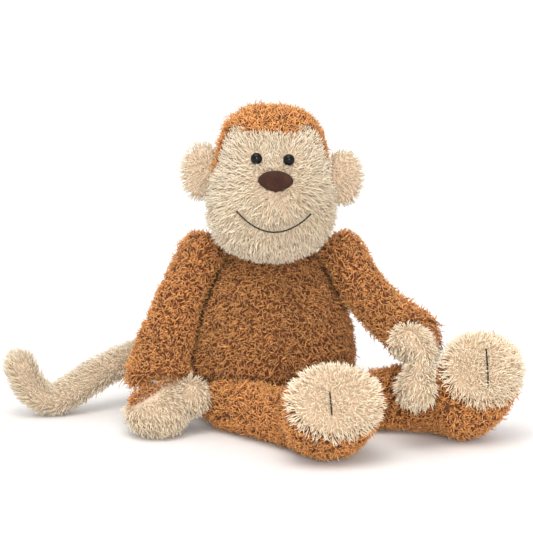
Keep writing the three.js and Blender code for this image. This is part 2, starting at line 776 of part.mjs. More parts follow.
function makeHead() {
  const head = (inset, fineness = 1) => bodyLoft(
    HEAD_ROWS,
    HEAD_CENTRE_X,
    HEAD_STEPS,
    Math.round(HEAD_SIDES * fineness),
    inset,
  );
  const up = new THREE.Vector3(0, 0, 1);
  const neckHole = rod(new THREE.Vector3(0, 0, 3), up, NECK_HOLE_RADIUS, NECK_HOLE_DEPTH);
  const spots = eyeSpots();
  const eyeRoom = unite(spots.map((spot) => eyeSolid(spot, GAP)));
  const washerRoom = unite(spots.map((spot) => washerSolid(spot, GAP)));
  const shell = head(0).subtract(head(WALL)).subtract(neckHole);
  const face = shell.intersect(faceBlock(0)).subtract(eyeRoom);
  const stuffing = head(STUFFING_INSET, COARSE)
    .intersect(head(WALL + GAP))
    .subtract(eyeRoom)
    .subtract(washerRoom);
  return [
    meshOf('face_panel', largestPart(face), CREAM),
    meshOf('head_cap', largestPart(shell.subtract(faceBlock(GAP))), GINGER),
    meshOf('head_stuffing', largestPart(stuffing), FIBRE),
    meshOf('right_ear', makeEar(-1), CREAM),
    meshOf('left_ear', makeEar(1), CREAM),
    ...spots.map((spot) => meshOf(`${spot.side}_eye`, eyeSolid(spot), BLACK_PLASTIC)),
    ...spots.map((spot) => meshOf(`${spot.side}_eye_washer`, washerSolid(spot), WHITE_PLASTIC)),
    meshOf('nose_patch', largestPart(nosePatch(head(-GAP))), SUEDE),
    meshOf('mouth_thread', mouthThread(), BLACK_THREAD),
  ];
}

// ---------------------------------------------------------------- assembly

const monkey = new THREE.Group();
monkey.add(...makeTorso());
for (const [side, arm] of Object.entries(ARMS)) {
  monkey.add(...makeArm(side, arm));
}
for (const [side, leg] of Object.entries(LEGS)) {
  monkey.add(...makeLeg(side, leg));
}
monkey.add(...makeTail());
monkey.add(meshOf('neck_seam', neckSeam(), TAN_THREAD));

const headGroup = new THREE.Group();
headGroup.position.copy(NECK);
headGroup.rotation.y = HEAD_ROLL;
headGroup.add(...makeHead());
monkey.add(headGroup);

export default monkey;
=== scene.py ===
"""A seated plush monkey: stuffed skins over the CAD bags, and a pile of mesh strands over the skins.

Places and lengths are in metres. A number that is multiplied by MM is in millimetres.
"""

import json
import math

import bmesh
import bpy
import numpy as np
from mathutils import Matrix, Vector
from mathutils.bvhtree import BVHTree


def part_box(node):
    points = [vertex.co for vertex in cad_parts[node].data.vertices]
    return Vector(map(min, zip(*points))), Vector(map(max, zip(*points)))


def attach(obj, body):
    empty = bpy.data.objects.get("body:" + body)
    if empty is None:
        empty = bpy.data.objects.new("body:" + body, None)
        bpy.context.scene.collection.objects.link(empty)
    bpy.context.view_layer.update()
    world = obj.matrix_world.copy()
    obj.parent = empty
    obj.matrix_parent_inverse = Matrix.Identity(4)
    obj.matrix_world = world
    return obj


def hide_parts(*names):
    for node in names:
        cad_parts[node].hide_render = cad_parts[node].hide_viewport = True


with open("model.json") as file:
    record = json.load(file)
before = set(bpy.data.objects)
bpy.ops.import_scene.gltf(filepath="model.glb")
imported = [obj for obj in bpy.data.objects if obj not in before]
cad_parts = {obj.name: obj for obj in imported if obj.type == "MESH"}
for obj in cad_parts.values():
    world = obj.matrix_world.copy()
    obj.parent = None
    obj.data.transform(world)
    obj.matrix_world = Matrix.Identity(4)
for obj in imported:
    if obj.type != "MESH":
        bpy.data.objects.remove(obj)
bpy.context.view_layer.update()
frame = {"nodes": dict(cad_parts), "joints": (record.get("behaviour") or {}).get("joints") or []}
NODES = frame["nodes"]
PIVOTS = {joint["name"]: Vector(joint["pos_m"]) for joint in frame["joints"]}
MM = 0.001
SIDES = ("right", "left")
PILE_UV = "OFBake"
FLOOR_CLEARANCE = 0.4 * MM
TINY = 1e-12  # keeps a division by a vanishing length finite
DEEPEST_SHADE_TONE = -0.5  # of a strand deep in a crease, where its darkness is painted shade; strands in the open have tones of 0 to 1

# ---------------------------------------------------------------- camera, light, floor

CAMERA_TARGET = Vector((-0.0041, 0.0, 0.1165))
CAMERA_ELEVATION = math.radians(9)
CAMERA_DISTANCE = 1.2
CAMERA_LENS = 108.07
SENSOR_WIDTH = 36

LIT_PLACE = (0, 0, 0.1)
SOFTBOXES = {  # place, width, power and colour
    "key": ((-0.12, -0.6, 1.25), 0.9, 9.0, (1, 0.98, 0.95)),
    "front": ((0.12, -1.4, 0.42), 0.45, 8.0, (1, 0.985, 0.96)),
}
SKY_STRENGTH = 1.02

FLOOR_REACH = 3.0
FLOOR_DARK, FLOOR_LIGHT = (0.79, 0.775, 0.768), (0.82, 0.805, 0.798)
GLOW = (1.0, 0.99, 0.985, 1)
GLOW_STARTS, GLOW_ENDS = 0.22, 0.9  # distances from the toy between which the floor's glow grows
GLOW_LEAST, GLOW_MOST = 0.02, 0.3


def aim(thing, place, target):
    thing.location = place
    thing.rotation_euler = (Vector(target) - Vector(place)).to_track_quat("-Z", "Y").to_euler()


def linked(name, data):
    thing = bpy.data.objects.new(name, data)
    bpy.context.scene.collection.objects.link(thing)
    return thing


def make_camera():
    data = bpy.data.cameras.new("camera")
    data.lens, data.sensor_width = CAMERA_LENS, SENSOR_WIDTH
    camera = linked("camera", data)
    back = Vector((0, -math.cos(CAMERA_ELEVATION), math.sin(CAMERA_ELEVATION)))
    aim(camera, CAMERA_TARGET + back * CAMERA_DISTANCE, CAMERA_TARGET)
    bpy.context.scene.camera = camera


def make_softbox(name, place, width, power, colour):
    data = bpy.data.lights.new(name, "AREA")
    data.shape, data.size, data.energy, data.color = "DISK", width, power, colour
    aim(linked(name, data), place, LIT_PLACE)


def make_studio():
    scene = bpy.context.scene
    scene.view_settings.view_transform = "Standard"
    world = bpy.data.worlds.new("studio")
    world.use_nodes = True
    sky = world.node_tree.nodes["Background"]
    sky.inputs["Color"].default_value = (1.0, 1.0, 1.0, 1)
    sky.inputs["Strength"].default_value = SKY_STRENGTH
    scene.world = world
    for name, settings in SOFTBOXES.items():
        make_softbox(name, *settings)


def make_floor():
    floor = linked("floor", bpy.data.meshes.new("floor"))
    corners = [(x * FLOOR_REACH, y * FLOOR_REACH, 0) for x, y in ((-1, -1), (1, -1), (1, 1), (-1, 1))]
    floor.data.from_pydata(corners, [], [(0, 1, 2, 3)])
    floor.data.materials.append(floor_material())


# ---------------------------------------------------------------- materials

NOISE_RANGE = (0.3, 0.7)  # nearly every value of a noise texture lies in it

FIBRE_STRETCH = (60, 6, 1)
FIBRE_SCALE = 3.0
MIDDLE_OF_STRAND = 0.42
FIBRE_HUES, FIBRE_SATURATIONS, FIBRE_ROUGHNESSES = (0.485, 0.515), (0.88, 1.12), (0.55, 0.8)

PATCH_WIDTH = 9  # of a cloth's patches, in grains
FINE_SHARE, PATCH_SHARE = 0.6, 0.4

PLY_SCALE, PLY_DISTORTION = 420, 1.5
FUZZ_SCALE = 1200
CLOUD_SCALE, WEAR_SCALE = 260, 900
PAPER_SCALE = 40


class Nodes:
    """A short way to write a material's node tree."""

    def __init__(self, name):
        self.material = bpy.data.materials.new(name)
        self.material.use_nodes = True
        self.tree = self.material.node_tree
        self.shader = self.tree.nodes["Principled BSDF"]

    def add(self, kind, **settings):
        node = self.tree.nodes.new("ShaderNode" + kind)
        for key, value in settings.items():
            setattr(node, key, value)
        return node

    def link(self, start, end):
        self.tree.links.new(start, end)

    def noise(self, vector, scale, detail=3.0, roughness=0.55):
        node = self.add("TexNoise")
        node.inputs["Scale"].default_value = scale
        node.inputs["Detail"].default_value = detail
        node.inputs["Roughness"].default_value = roughness
        self.link(vector, node.inputs["Vector"])
        return node.outputs["Fac"]

    def ramp(self, factor, stops):
        node = self.add("ValToRGB")
        elements = node.color_ramp.elements
        while len(elements) < len(stops):
            elements.new(0.5)
        for element, (place, colour) in zip(elements, stops):
            element.position, element.color = place, (*colour, 1)
        self.link(factor, node.inputs["Fac"])
        return node.outputs["Color"]

    def spread(self, value, low, high, start=0.0, end=1.0):
        node = self.add("MapRange")
        ends = {"From Min": start, "From Max": end, "To Min": low, "To Max": high}
        for key, number in ends.items():
            node.inputs[key].default_value = number
        self.link(value, node.inputs["Value"])
        return node.outputs["Result"]

    def bump(self, height, distance, strength=1.0):
        node = self.add("Bump")
        node.inputs["Strength"].default_value = strength
        node.inputs["Distance"].default_value = distance
        self.link(height, node.inputs["Height"])
        self.link(node.outputs["Normal"], self.shader.inputs["Normal"])

    def set(self, **sockets):
        for key, value in sockets.items():
            self.shader.inputs[key.replace("_", " ")].default_value = value

    def object_place(self):
        return self.add("TexCoord").outputs["Object"]


def linear(red, green, blue):
    """An sRGB colour of 0 to 255 as linear light."""
    return tuple(
        ((c / 255 + 0.055) / 1.055) ** 2.4 if c > 10 else c / 3294
        for c in (red, green, blue)
    )


def pile_material(name, root, middle, tip, value_spread, sheen):
    """Strand colour from its own UV: across is the strand's tone, up is from root to tip. The dark root
    colour is painted shade where the strands shade each other near the skin, and the light tip colour is
    partly painted highlight.
    """
    made = Nodes(name)
    uv = made.add("UVMap", uv_map=PILE_UV).outputs["UV"]
    parts = made.add("SeparateXYZ")
    made.link(uv, parts.inputs["Vector"])
    tone, along = parts.outputs["X"], parts.outputs["Y"]
    stretch = made.add("Mapping")
    stretch.inputs["Scale"].default_value = FIBRE_STRETCH
    made.link(uv, stretch.inputs["Vector"])
    fibres = made.noise(stretch.outputs["Vector"], FIBRE_SCALE)
    # root to tip: painted shade at the root, the fur's own colour in the middle, partly painted highlight at
    # the tip
    colour = made.ramp(along, [(0.0, root), (MIDDLE_OF_STRAND, middle), (1.0, tip)])
    shift = made.add("HueSaturation")
    made.link(colour, shift.inputs["Color"])
    # the value of a strand in the deepest painted crease shade
    crease_shade_value = 1 + value_spread * (2 * DEEPEST_SHADE_TONE - 1)
    made.link(made.spread(tone, crease_shade_value, 1 + value_spread), shift.inputs["Value"])
    made.link(made.spread(fibres, *FIBRE_HUES, *NOISE_RANGE), shift.inputs["Hue"])
    made.link(made.spread(fibres, *FIBRE_SATURATIONS, *NOISE_RANGE), shift.inputs["Saturation"])
    made.link(shift.outputs["Color"], made.shader.inputs["Base Color"])
    roughness = made.spread(fibres, *FIBRE_ROUGHNESSES, *NOISE_RANGE)
    made.link(roughness, made.shader.inputs["Roughness"])
    made.bump(fibres, 0.2 * MM, 0.5)
    made.set(Sheen_Weight=sheen, Sheen_Roughness=0.5, Specular_IOR_Level=0.35)
    return made.material


def cloth_material(name, dark, light, grain=900.0, sheen=0.2):
    """Backing cloth, or any short even nap, with patches and fine grain."""
    made = Nodes(name)
    place = made.object_place()
    patches = made.noise(place, grain / PATCH_WIDTH)
    fine = made.noise(place, grain, 4.0, 0.7)
    mixed = made.add("Math", operation="MULTIPLY_ADD")
    mixed.inputs[1].default_value = FINE_SHARE
    made.link(fine, mixed.inputs[0])
    made.link(made.spread(patches, 0.0, PATCH_SHARE), mixed.inputs[2])
    colour = made.ramp(mixed.outputs["Value"], [(0.3, dark), (0.7, light)])
    made.link(colour, made.shader.inputs["Base Color"])
    made.link(made.spread(fine, 0.75, 0.98), made.shader.inputs["Roughness"])
    made.bump(fine, 0.4 * MM)
    made.set(Sheen_Weight=sheen, Sheen_Roughness=0.6, Specular_IOR_Level=0.2)
    return made.material


def thread_material(name, dark, light):
    made = Nodes(name)
    place = made.object_place()
    ply = made.add("TexWave", bands_direction="DIAGONAL")
    ply.inputs["Scale"].default_value = PLY_SCALE
    ply.inputs["Distortion"].default_value = PLY_DISTORTION
    made.link(place, ply.inputs["Vector"])
    colour = made.ramp(ply.outputs["Fac"], [(0.1, dark), (1.0, light)])
    made.link(colour, made.shader.inputs["Base Color"])
    fuzz = made.noise(place, FUZZ_SCALE)
    made.link(made.spread(fuzz, 0.55, 0.85), made.shader.inputs["Roughness"])
    made.bump(ply.outputs["Fac"], 0.2 * MM)
    return made.material


def plastic_material(name, dark, light, roughness):
    made = Nodes(name)
    place = made.object_place()
    colour = made.ramp(made.noise(place, CLOUD_SCALE), [(0.35, dark), (0.75, light)])
    made.link(colour, made.shader.inputs["Base Color"])
    wear = made.spread(made.noise(place, WEAR_SCALE), roughness * 0.7, roughness * 1.3)
    made.link(wear, made.shader.inputs["Roughness"])
    made.set(Specular_IOR_Level=0.22)
    return made.material


def floor_material():
    made = Nodes("floor_paper")
    place = made.object_place()
    grain = made.noise(place, PAPER_SCALE)
    colour = made.ramp(grain, [(0.3, FLOOR_DARK), (0.7, FLOOR_LIGHT)])
    made.link(colour, made.shader.inputs["Base Color"])
    made.link(made.spread(grain, 0.7, 0.85), made.shader.inputs["Roughness"])
    far = made.add("VectorMath", operation="LENGTH")
    made.link(place, far.inputs[0])
    glow = made.spread(far.outputs["Value"], GLOW_LEAST, GLOW_MOST, GLOW_STARTS, GLOW_ENDS)
    made.link(glow, made.shader.inputs["Emission Strength"])
    made.set(Specular_IOR_Level=0.1, Emission_Color=GLOW)
    return made.material


# Each pile's colours run root, middle, tip: the dark root is painted shade and the light tip partly painted
# highlight.
GINGER = pile_material(
    "ginger_pile", linear(100, 54, 24), linear(190, 122, 62), linear(232, 176, 110),
    value_spread=0.36, sheen=0.1,
)
CREAM = pile_material(
    "cream_pile", linear(214, 191, 162), linear(230, 211, 182), linear(244, 233, 211),
    value_spread=0.13, sheen=0.15,
)
GINGER_BACKING = cloth_material("ginger_backing", linear(84, 44, 20), linear(138, 82, 40))
CREAM_BACKING = cloth_material("cream_backing", linear(206, 178, 150), linear(230, 208, 182))
SUEDE = cloth_material("nose_suede", linear(30, 16, 10), linear(76, 44, 30), grain=1500.0, sheen=0.03)
BLACK_THREAD = thread_material("dark_thread", linear(17, 14, 12), linear(26, 21, 18))
TAN_THREAD = thread_material("tan_thread", linear(96, 56, 28), linear(168, 110, 62))
EYE_BLACK = plastic_material("eye_black", linear(3, 3, 3), linear(9, 7, 6), roughness=0.07)
WASHER_WHITE = plastic_material(
    "washer_white", linear(214, 210, 200), linear(240, 238, 232), roughness=0.4
)

# ---------------------------------------------------------------- meshes


def coords(thing):
    flat = np.empty(len(thing.data.vertices) * 3)
    thing.data.vertices.foreach_get("co", flat)
    return flat.reshape(-1, 3)


def put_coords(thing, points):
    thing.data.vertices.foreach_set("co", np.asarray(points, np.float32).ravel())
    thing.data.update()


def shaped(thing):
    """Applies the thing's modifiers to its mesh."""
    graph = bpy.context.evaluated_depsgraph_get()
    mesh = bpy.data.meshes.new_from_object(thing.evaluated_get(graph))
    thing.modifiers.clear()
    thing.data = mesh
    mesh.name = thing.name
    return thing


def modified(thing, kind, **settings):
    modifier = thing.modifiers.new(kind.lower(), kind)
    for key, value in settings.items():
        setattr(modifier, key, value)
    return shaped(thing)


def shade_smooth(thing):
    thing.data.polygons.foreach_set("use_smooth", [True] * len(thing.data.polygons))


def tree_of(*meshes):
    made = bmesh.new()
    for mesh in meshes:
        made.from_mesh(mesh)
    tree = BVHTree.FromBMesh(made)
    made.free()
    return tree


def node_tree(*names):
    return tree_of(*(NODES[name].data for name in names))


def bag(name, nodes, voxel=3.0, inset=1.5, smoothing=6):
    """One closed skin around CAD nodes, with the voxel and the inset in millimetres."""
    made = bmesh.new()
    for node in nodes:
        made.from_mesh(NODES[node].data)
    skin = linked(name, bpy.data.meshes.new(name))
    made.to_mesh(skin.data)
    made.free()
    modified(skin, "REMESH", mode="VOXEL", voxel_size=voxel * MM)
    keep_largest_shell(skin)
    modified(skin, "SMOOTH", factor=0.5, iterations=smoothing)
    modified(skin, "DISPLACE", strength=-inset * MM, mid_level=0.0)
    shade_smooth(skin)
    return skin


def keep_largest_shell(skin):
    """Drops the inner shells, so that only the outer skin is left."""
    made = bmesh.new()
    made.from_mesh(skin.data)
    left, shells = set(made.verts), []
    while left:
        stack, shell = [left.pop()], []
        while stack:
            vert = stack.pop()
            shell.append(vert)
            for edge in vert.link_edges:
                other = edge.other_vert(vert)
                if other in left:
                    left.discard(other)
                    stack.append(other)
        shells.append(shell)
    shells.sort(key=len)
    for shell in shells[:-1]:
        bmesh.ops.delete(made, geom=shell, context="VERTS")
    made.to_mesh(skin.data)
    made.free()


def stuff(skins, cap=2.5, pressure=4.0, frames=20):
    """Fills the skins: pressure swells the cloth, and no point moves further than the cap in millimetres."""
    scene = bpy.context.scene
    before = {skin.name: coords(skin) for skin in skins}
    for skin in skins:
        cloth = skin.modifiers.new("cloth", "CLOTH")
        cloth.settings.use_pressure = True
        cloth.settings.uniform_pressure_force = pressure
        cloth.settings.effector_weights.gravity = 0
        cloth.point_cache.frame_start, cloth.point_cache.frame_end = 1, frames
    for number in range(1, frames + 1):
        scene.frame_set(number)
    graph = bpy.context.evaluated_depsgraph_get()
    for skin in skins:
        mesh = skin.evaluated_get(graph).to_mesh()
        flat = np.empty(len(mesh.vertices) * 3)
        mesh.vertices.foreach_get("co", flat)
        skin.evaluated_get(graph).to_mesh_clear()
        moved = flat.reshape(-1, 3) - before[skin.name]
        size = np.linalg.norm(moved, axis=1, keepdims=True)
        moved *= np.minimum(1, cap * MM / np.maximum(size, TINY))
        skin.modifiers.clear()
        put_coords(skin, before[skin.name] + moved)
    scene.frame_set(1)


def rest_on_floor(thing):
    points = coords(thing)
    points[:, 2] = np.maximum(points[:, 2], FLOOR_CLEARANCE)
    put_coords(thing, points)


# ---------------------------------------------------------------- pile

DRAWS_PER_ROOT = 6  # enough that nearly every cell of the surface gets a root
CELL_PRIME = 7919  # keeps the numbers of neighbouring cells apart
RINGS = 4  # of three corners each along a strand, before its tip
SEED_DIRECTION = np.array([0.31, 0.52, 0.79])  # no strand keeps to it, so a strand's sides can start from it
FOOT, SWELL, TAPER, TAPER_POWER = 0.72, 0.6, 1.05, 2.2  # a strand's thickness from root to tip
ROOT_WANDER = 0.2
LARGEST_PILE = 9400  # strands in one mesh
TONE_START, TONE_WIDTH, ROUND_WIDTH = 0.02, 0.92, 0.03  # across the UV: a tone's place, and a strand's sides
ROOT_START, STRAND_HEIGHT = 0.01, 0.98  # up the UV


def unit(vectors):
    return vectors / np.maximum(np.linalg.norm(vectors, axis=-1, keepdims=True), TINY)


def cell_keys(places):
    """One whole number for the unit cell that each place lies in."""
    cells = np.floor(places).astype(np.int64)
    return (cells[:, 0] * CELL_PRIME + cells[:, 1]) * CELL_PRIME + cells[:, 2]


def scattered(skin, spacing, rng):
    """Points on a skin about a spacing apart, and their normals."""
    mesh = skin.data
    mesh.calc_loop_triangles()
    corners = np.empty(len(mesh.loop_triangles) * 3, np.int64)
    mesh.loop_triangles.foreach_get("vertices", corners)
    triangles = corners.reshape(-1, 3)
    flat = np.empty(len(mesh.vertices) * 3)
    mesh.vertex_normals.foreach_get("vector", flat)
    skin_points, skin_normals = coords(skin), flat.reshape(-1, 3)
    a, b, c = (skin_points[triangles[:, i]] for i in range(3))
    areas = np.linalg.norm(np.cross(b - a, c - a), axis=1) / 2
    size = spacing * MM
    count = int(areas.sum() / size**2 * DRAWS_PER_ROOT)
    chosen = rng.choice(len(areas), count, p=areas / areas.sum())
    u, v = rng.random(count), rng.random(count)
    flip = u + v > 1
    u[flip], v[flip] = 1 - u[flip], 1 - v[flip]
    weights = np.stack([1 - u - v, u, v], 1)[:, :, None]
    corners = triangles[chosen]
    points = (skin_points[corners] * weights).sum(1)
    normals = unit((skin_normals[corners] * weights).sum(1))
    first = np.unique(cell_keys(points / size), return_index=True)[1]
    return points[first], normals[first]


def on_surface(flow, normals):
    """The part of a flow that runs along the surface."""
    return flow - (flow * normals).sum(1, keepdims=True) * normals


def noise_at(points, size, seed):
    """A smooth random value of about -1 to 1 at each point, from crossed waves with a size in millimetres."""
    waves, spread = 6, 3.2
    rng = np.random.default_rng(seed)
    total = np.zeros(len(points))
    for _ in range(waves):
        direction = rng.normal(size=3)
        direction /= np.linalg.norm(direction)
        scale = 2 * math.pi / (size * MM) * rng.uniform(0.6, 1.5)
        total += np.sin(points @ direction * scale + rng.uniform(0, 2 * math.pi))
    return total / spread


def swept(points, normals, flows, lengths, leans, bends, twists):
    """Centre lines: each strand leaves its root leaning along its flow, and then bends and twists on."""
    across = unit(np.cross(normals, flows))
    places = [points]
    for i in range(RINGS):
        share = (i + 0.5) / RINGS
        turn = (leans + bends * share)[:, None]
        spin = (twists * share)[:, None]
        level = flows * np.cos(spin) + across * np.sin(spin)
        heading = normals * np.cos(turn) + level * np.sin(turn)
        places.append(places[-1] + heading * (lengths / RINGS)[:, None])
    return np.stack(places, 1)


def make_pile(name, places, radii, tones, look, body):
    """Tapered three-sided strands along the centre lines, in as many meshes as they need."""
    order = np.argsort(places[:, 0, 2], kind="stable")
    share = np.arange(RINGS) / RINGS
    profile = (FOOT + SWELL * share - TAPER * share**TAPER_POWER)[None, :, None]
    for number, start in enumerate(range(0, len(order), LARGEST_PILE)):
        chosen = order[start : start + LARGEST_PILE]
        lines, thick = places[chosen], radii[chosen, None, None]
        tangent = unit(np.gradient(lines, axis=1))
        side = unit(np.cross(tangent, SEED_DIRECTION))
        rise = np.cross(side, tangent)
        verts = np.empty((len(chosen), RINGS * 3 + 1, 3))
        for k in range(3):
            turn = 2 * math.pi * k / 3
            offset = side[:, :RINGS] * math.cos(turn) + rise[:, :RINGS] * math.sin(turn)
            verts[:, k : RINGS * 3 : 3] = lines[:, :RINGS] + offset * profile * thick
        verts[:, -1] = lines[:, -1]
        verts[:, :, 2] = np.maximum(verts[:, :, 2], FLOOR_CLEARANCE)
        mesh = strand_mesh(f"{name}_{number + 1}", verts, tones[chosen])
        pile = linked(mesh.name, mesh)
        pile.data.materials.append(look)
        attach(pile, body)


def strand_faces():
    """One strand's faces and their UV: quads between the rings, then three triangles to the tip."""
    faces, uvs = [], []
    for r in range(RINGS - 1):
        for k in range(3):
            near, far = 3 * r, 3 * r + 3
            faces.append((near + k, near + (k + 1) % 3, far + (k + 1) % 3, far + k))
            uvs += [((k + e) / 3, (r + h) / RINGS) for e, h in ((0, 0), (1, 0), (1, 1), (0, 1))]
    last, tip = 3 * (RINGS - 1), 3 * RINGS
    for k in range(3):
        faces.append((last + k, last + (k + 1) % 3, tip))
        uvs += [(k / 3, 1 - 1 / RINGS), ((k + 1) / 3, 1 - 1 / RINGS), ((k + 0.5) / 3, 1)]
    return faces, np.array(uvs)


def strand_mesh(name, verts, tones):
    """All the strands as one mesh. Across its UV a strand takes a narrow column at the place of its tone."""
    count, per_strand = verts.shape[:2]
    faces, pattern = strand_faces()
    corners = np.array([corner for face in faces for corner in face])
    sizes = np.array([len(face) for face in faces])
    mesh = bpy.data.meshes.new(name)
    mesh.vertices.add(count * per_strand)
    mesh.vertices.foreach_set("co", verts.astype(np.float32).ravel())
    loops = (np.arange(count)[:, None] * per_strand + corners[None]).ravel()
    mesh.loops.add(len(loops))
    mesh.loops.foreach_set("vertex_index", loops.astype(np.int32))
    all_sizes = np.tile(sizes, count)
    mesh.polygons.add(len(all_sizes))
    starts = np.concatenate([[0], np.cumsum(all_sizes)[:-1]])
    mesh.polygons.foreach_set("loop_start", starts.astype(np.int32))
    mesh.polygons.foreach_set("use_smooth", np.ones(len(all_sizes), bool))
    layer = mesh.uv_layers.new(name=PILE_UV)
    uv = np.empty((count, len(pattern), 2), np.float32)
    share = (tones[:, None] - DEEPEST_SHADE_TONE) / (1 - DEEPEST_SHADE_TONE)
    uv[:, :, 0] = TONE_START + TONE_WIDTH * share + ROUND_WIDTH * pattern[None, :, 0]
    uv[:, :, 1] = ROOT_START + STRAND_HEIGHT * pattern[None, :, 1]
    layer.data.foreach_set("uv", uv.ravel())
    mesh.update(calc_edges=True)
    mesh.validate()
    return mesh


def distances(points, tree, reach=0.2):
    """Each point's distance from a tree's surface, or the reach where the surface is further away."""
    found = [tree.find_nearest(point, reach)[3] for point in points]
    return np.array([reach if d is None else d for d in found])


def roots_of(skin, rng, spacing, keep):
    points, normals = scattered(skin, spacing, rng)
    if keep is not None:
        chosen = keep(points)
        points, normals = points[chosen], normals[chosen]
    return points, normals


STRAY_SHARE, STRAY_FACTOR = 0.06, 1.4  # a few curls are longer than the others
CREASE_SHARE, CREASE_PAINTED_SHADE = 0.9, 1.3  # painted shade: curls are darker the more they are shortened below this share, as in a crease's shade


def curly(name, skin, body, seed, flow, spacing=1.62, keep=None, lengths_at=None, tone=0.5):
    """Short chunky ginger curls that stand up in tufts and hook over. Where they are shortened, as in a
    crease, their tone is darkened with painted shade.
    """
    rng = np.random.default_rng(seed)
    points, normals = roots_of(skin, rng, spacing, keep)
    count = len(points)
    wander = unit(rng.normal(size=(count, 3)))
    flows = unit(on_surface(flow(points) * 0.5 + wander, normals))
    lengths = rng.uniform(5.8, 9.0, count)
    lengths = lengths * np.where(rng.random(count) < STRAY_SHARE, STRAY_FACTOR, 1.0) * MM
    share = np.ones(count) if lengths_at is None else lengths_at(points)
    lengths *= share
    lines = swept(
        points, unit(normals + ROOT_WANDER * wander), flows, lengths,
        leans=rng.uniform(0.0, 0.7, count), bends=rng.uniform(0.6, 2.2, count),
        twists=rng.normal(0, 0.9, count),
    )
    lines = gathered(lines, rng, size=3.4, pull=0.3)
    radii = rng.uniform(0.36, 0.6, count) * MM
    # random patches of tone, less painted shade where the curls are shortened in a crease
    patch = noise_at(points, 30, seed) * 0.1 - CREASE_PAINTED_SHADE * np.clip(CREASE_SHARE - share, 0, 1)
    tones = np.clip(tone + rng.normal(0, 0.2, count), 0, 1) + patch
    tones = np.clip(tones, DEEPEST_SHADE_TONE, 1)
    make_pile(name, lines, radii, tones, GINGER, body)


def fluffy(
    name, skin, body, seed, flow, length, tone, spacing=1.65, keep=None, lean=0.55, lengths_at=None
):
    """Longer cream tufts that lie along the flow and gather into locks."""
    rng = np.random.default_rng(seed)
    points, normals = roots_of(skin, rng, spacing, keep)
    count = len(points)
    wander = unit(rng.normal(size=(count, 3)))
    level = on_surface(flow(points), normals)
    along = np.minimum(1, np.linalg.norm(level, axis=1) * 1.3)
    flows = unit(level + 0.55 * wander)
    flows = unit(on_surface(flows, normals))
    lengths = rng.uniform(0.7, 1.2, count) * length * MM
    if lengths_at is not None:
        lengths *= lengths_at(points)
    lines = swept(
        points, unit(normals + ROOT_WANDER * wander), flows, lengths,
        leans=rng.uniform(0.3, 1.3, count) * lean * along, bends=rng.uniform(0.2, 1.3, count),
        twists=rng.normal(0, 0.6, count),
    )
    lines = gathered(lines, rng, size=4.5, pull=0.45)
    radii = rng.uniform(0.34, 0.56, count) * MM
    patch = noise_at(points, 22, seed) * 0.12
    tones = np.clip(tone + patch + rng.normal(0, 0.22, count), 0, 1)
    make_pile(name, lines, radii, tones, CREAM, body)


def gathered(lines, rng, size, pull):
    """Draws the strands' tips together into locks about a size in millimetres apart."""
    keys = cell_keys(lines[:, 0] / (size * MM) + rng.random(3))
    _, group, counts = np.unique(keys, return_inverse=True, return_counts=True)
    group = group.ravel()
    share = np.linspace(0, 1, lines.shape[1])[None, :, None] ** 1.6
    centre = np.zeros((len(counts), lines.shape[1], 3))
    np.add.at(centre, group, lines)
    centre /= counts[:, None, None]
    return lines + (centre[group] - lines) * share * pull


# ---------------------------------------------------------------- stuffed skins


def box_centre(name):
    low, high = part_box(name)
    return (Vector(low) + Vector(high)) / 2


def stuffed(name, body, nodes, slot, fill, hidden=(), **shape):
    """The skin of one stuffed bag around CAD nodes, which stands for them and for the hidden ones."""
    skin = bag(name, nodes, **shape)
    skin["body"], skin["hides"] = body, [*nodes, *hidden]
    skin["finish"], skin["fill"] = slot, fill
    return skin


def finish_skin(skin, looks, first_tree=None, second_tree=None):
    """Rounds the cloth, rests it on the floor and gives each face the backing that is nearest to it."""
    rest_on_floor(skin)
    modified(skin, "SUBSURF", levels=1, render_levels=1)
    for look in looks:
        skin.data.materials.append(look)
    if second_tree is not None:
        for face in skin.data.polygons:
            near_first = first_tree.find_nearest(face.center)[3]
            face.material_index = int(second_tree.find_nearest(face.center)[3] < near_first)
    shade_smooth(skin)
    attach(skin, skin["body"])
    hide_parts(*skin["hides"])


torso = stuffed(
    "torso_bag", "torso", ["torso_front_panel", "torso_back_panel", "torso_stuffing"],
    slot="ginger_pile", fill=0.8, hidden=["bead_pouch"],
)
head = stuffed(
    "head_bag", "head", ["head_cap", "face_panel", "head_stuffing"], slot="cream_pile", fill=0.9,
)
skins = {"torso": torso, "head": head}
for side in SIDES:
    skins[side + "_arm"] = stuffed(
        side + "_arm_bag", side + "_arm", [side + "_sleeve", side + "_arm_stuffing"],
        slot="ginger_pile", fill=0.7,
    )
    skins[side + "_hand"] = stuffed(
        side + "_hand_bag", side + "_hand", [side + "_hand_skin", side + "_hand_stuffing"],
        slot="cream_pile", fill=0.7, voxel=2.5, smoothing=4,
    )
    skins[side + "_leg"] = stuffed(
        side + "_leg_bag", side + "_leg", [side + "_leg_skin", side + "_sole", side + "_leg_stuffing"],
        slot="ginger_pile", fill=0.7,
    )
    skins[side + "_ear"] = stuffed(
        side + "_ear_pad", side + "_ear", [side + "_ear"],
        slot="cream_pile", fill=0.5, voxel=1.6, inset=0.8, smoothing=3,
    )
skins["tail"] = stuffed(
    "tail_bag", "tail", ["tail_skin", "tail_stuffing"],
    slot="cream_pile", fill=0.6, voxel=2.2, smoothing=4,
)
stuff(list(skins.values()))

